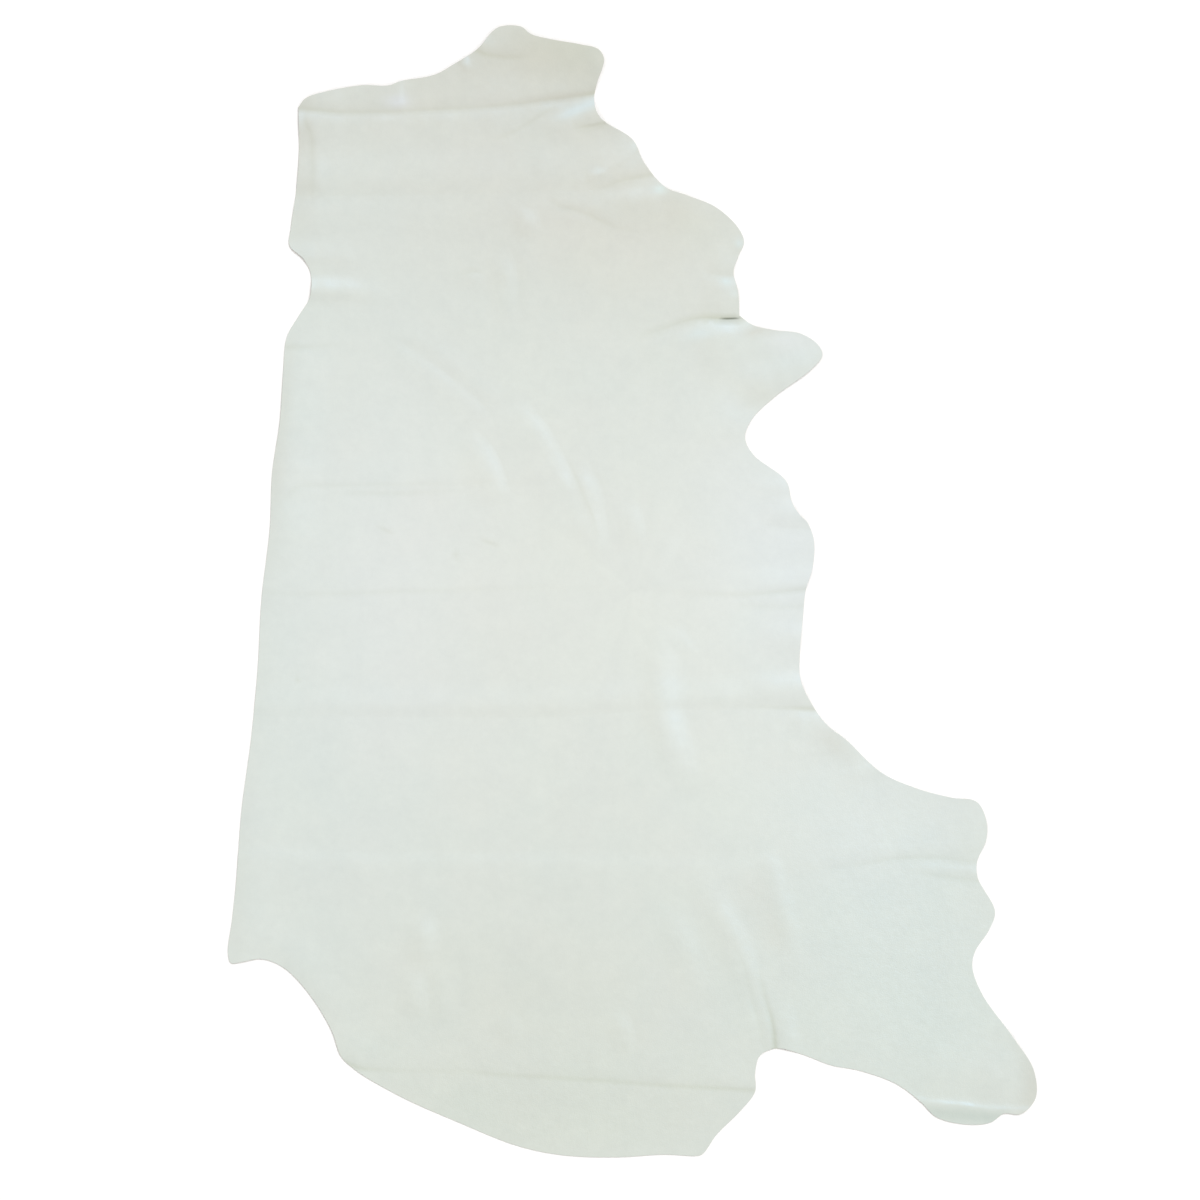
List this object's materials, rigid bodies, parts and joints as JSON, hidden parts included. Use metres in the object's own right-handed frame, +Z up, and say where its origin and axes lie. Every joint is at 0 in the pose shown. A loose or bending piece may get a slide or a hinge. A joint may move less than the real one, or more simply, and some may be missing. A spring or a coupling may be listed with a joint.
{
  "type": "leather hide",
  "caption": "One side of a cow hide as a thin off-white sheet, with neck, foreleg, belly, hind shank and butt edges, lying flat with fold creases.",
  "frame": {"origin": "on the surface that the hide lies on, under the middle of its bounding box", "axes": "+X from the backbone edge to the belly, +Y from the butt to the neck, +Z up, out of the grain side"},
  "size_m": [1.537, 2.15, 0.0164],
  "materials": {
    "leather": "satin"
  },
  "bodies": {
    "root": {"hide": "leather"}
  },
  "joints": []
}
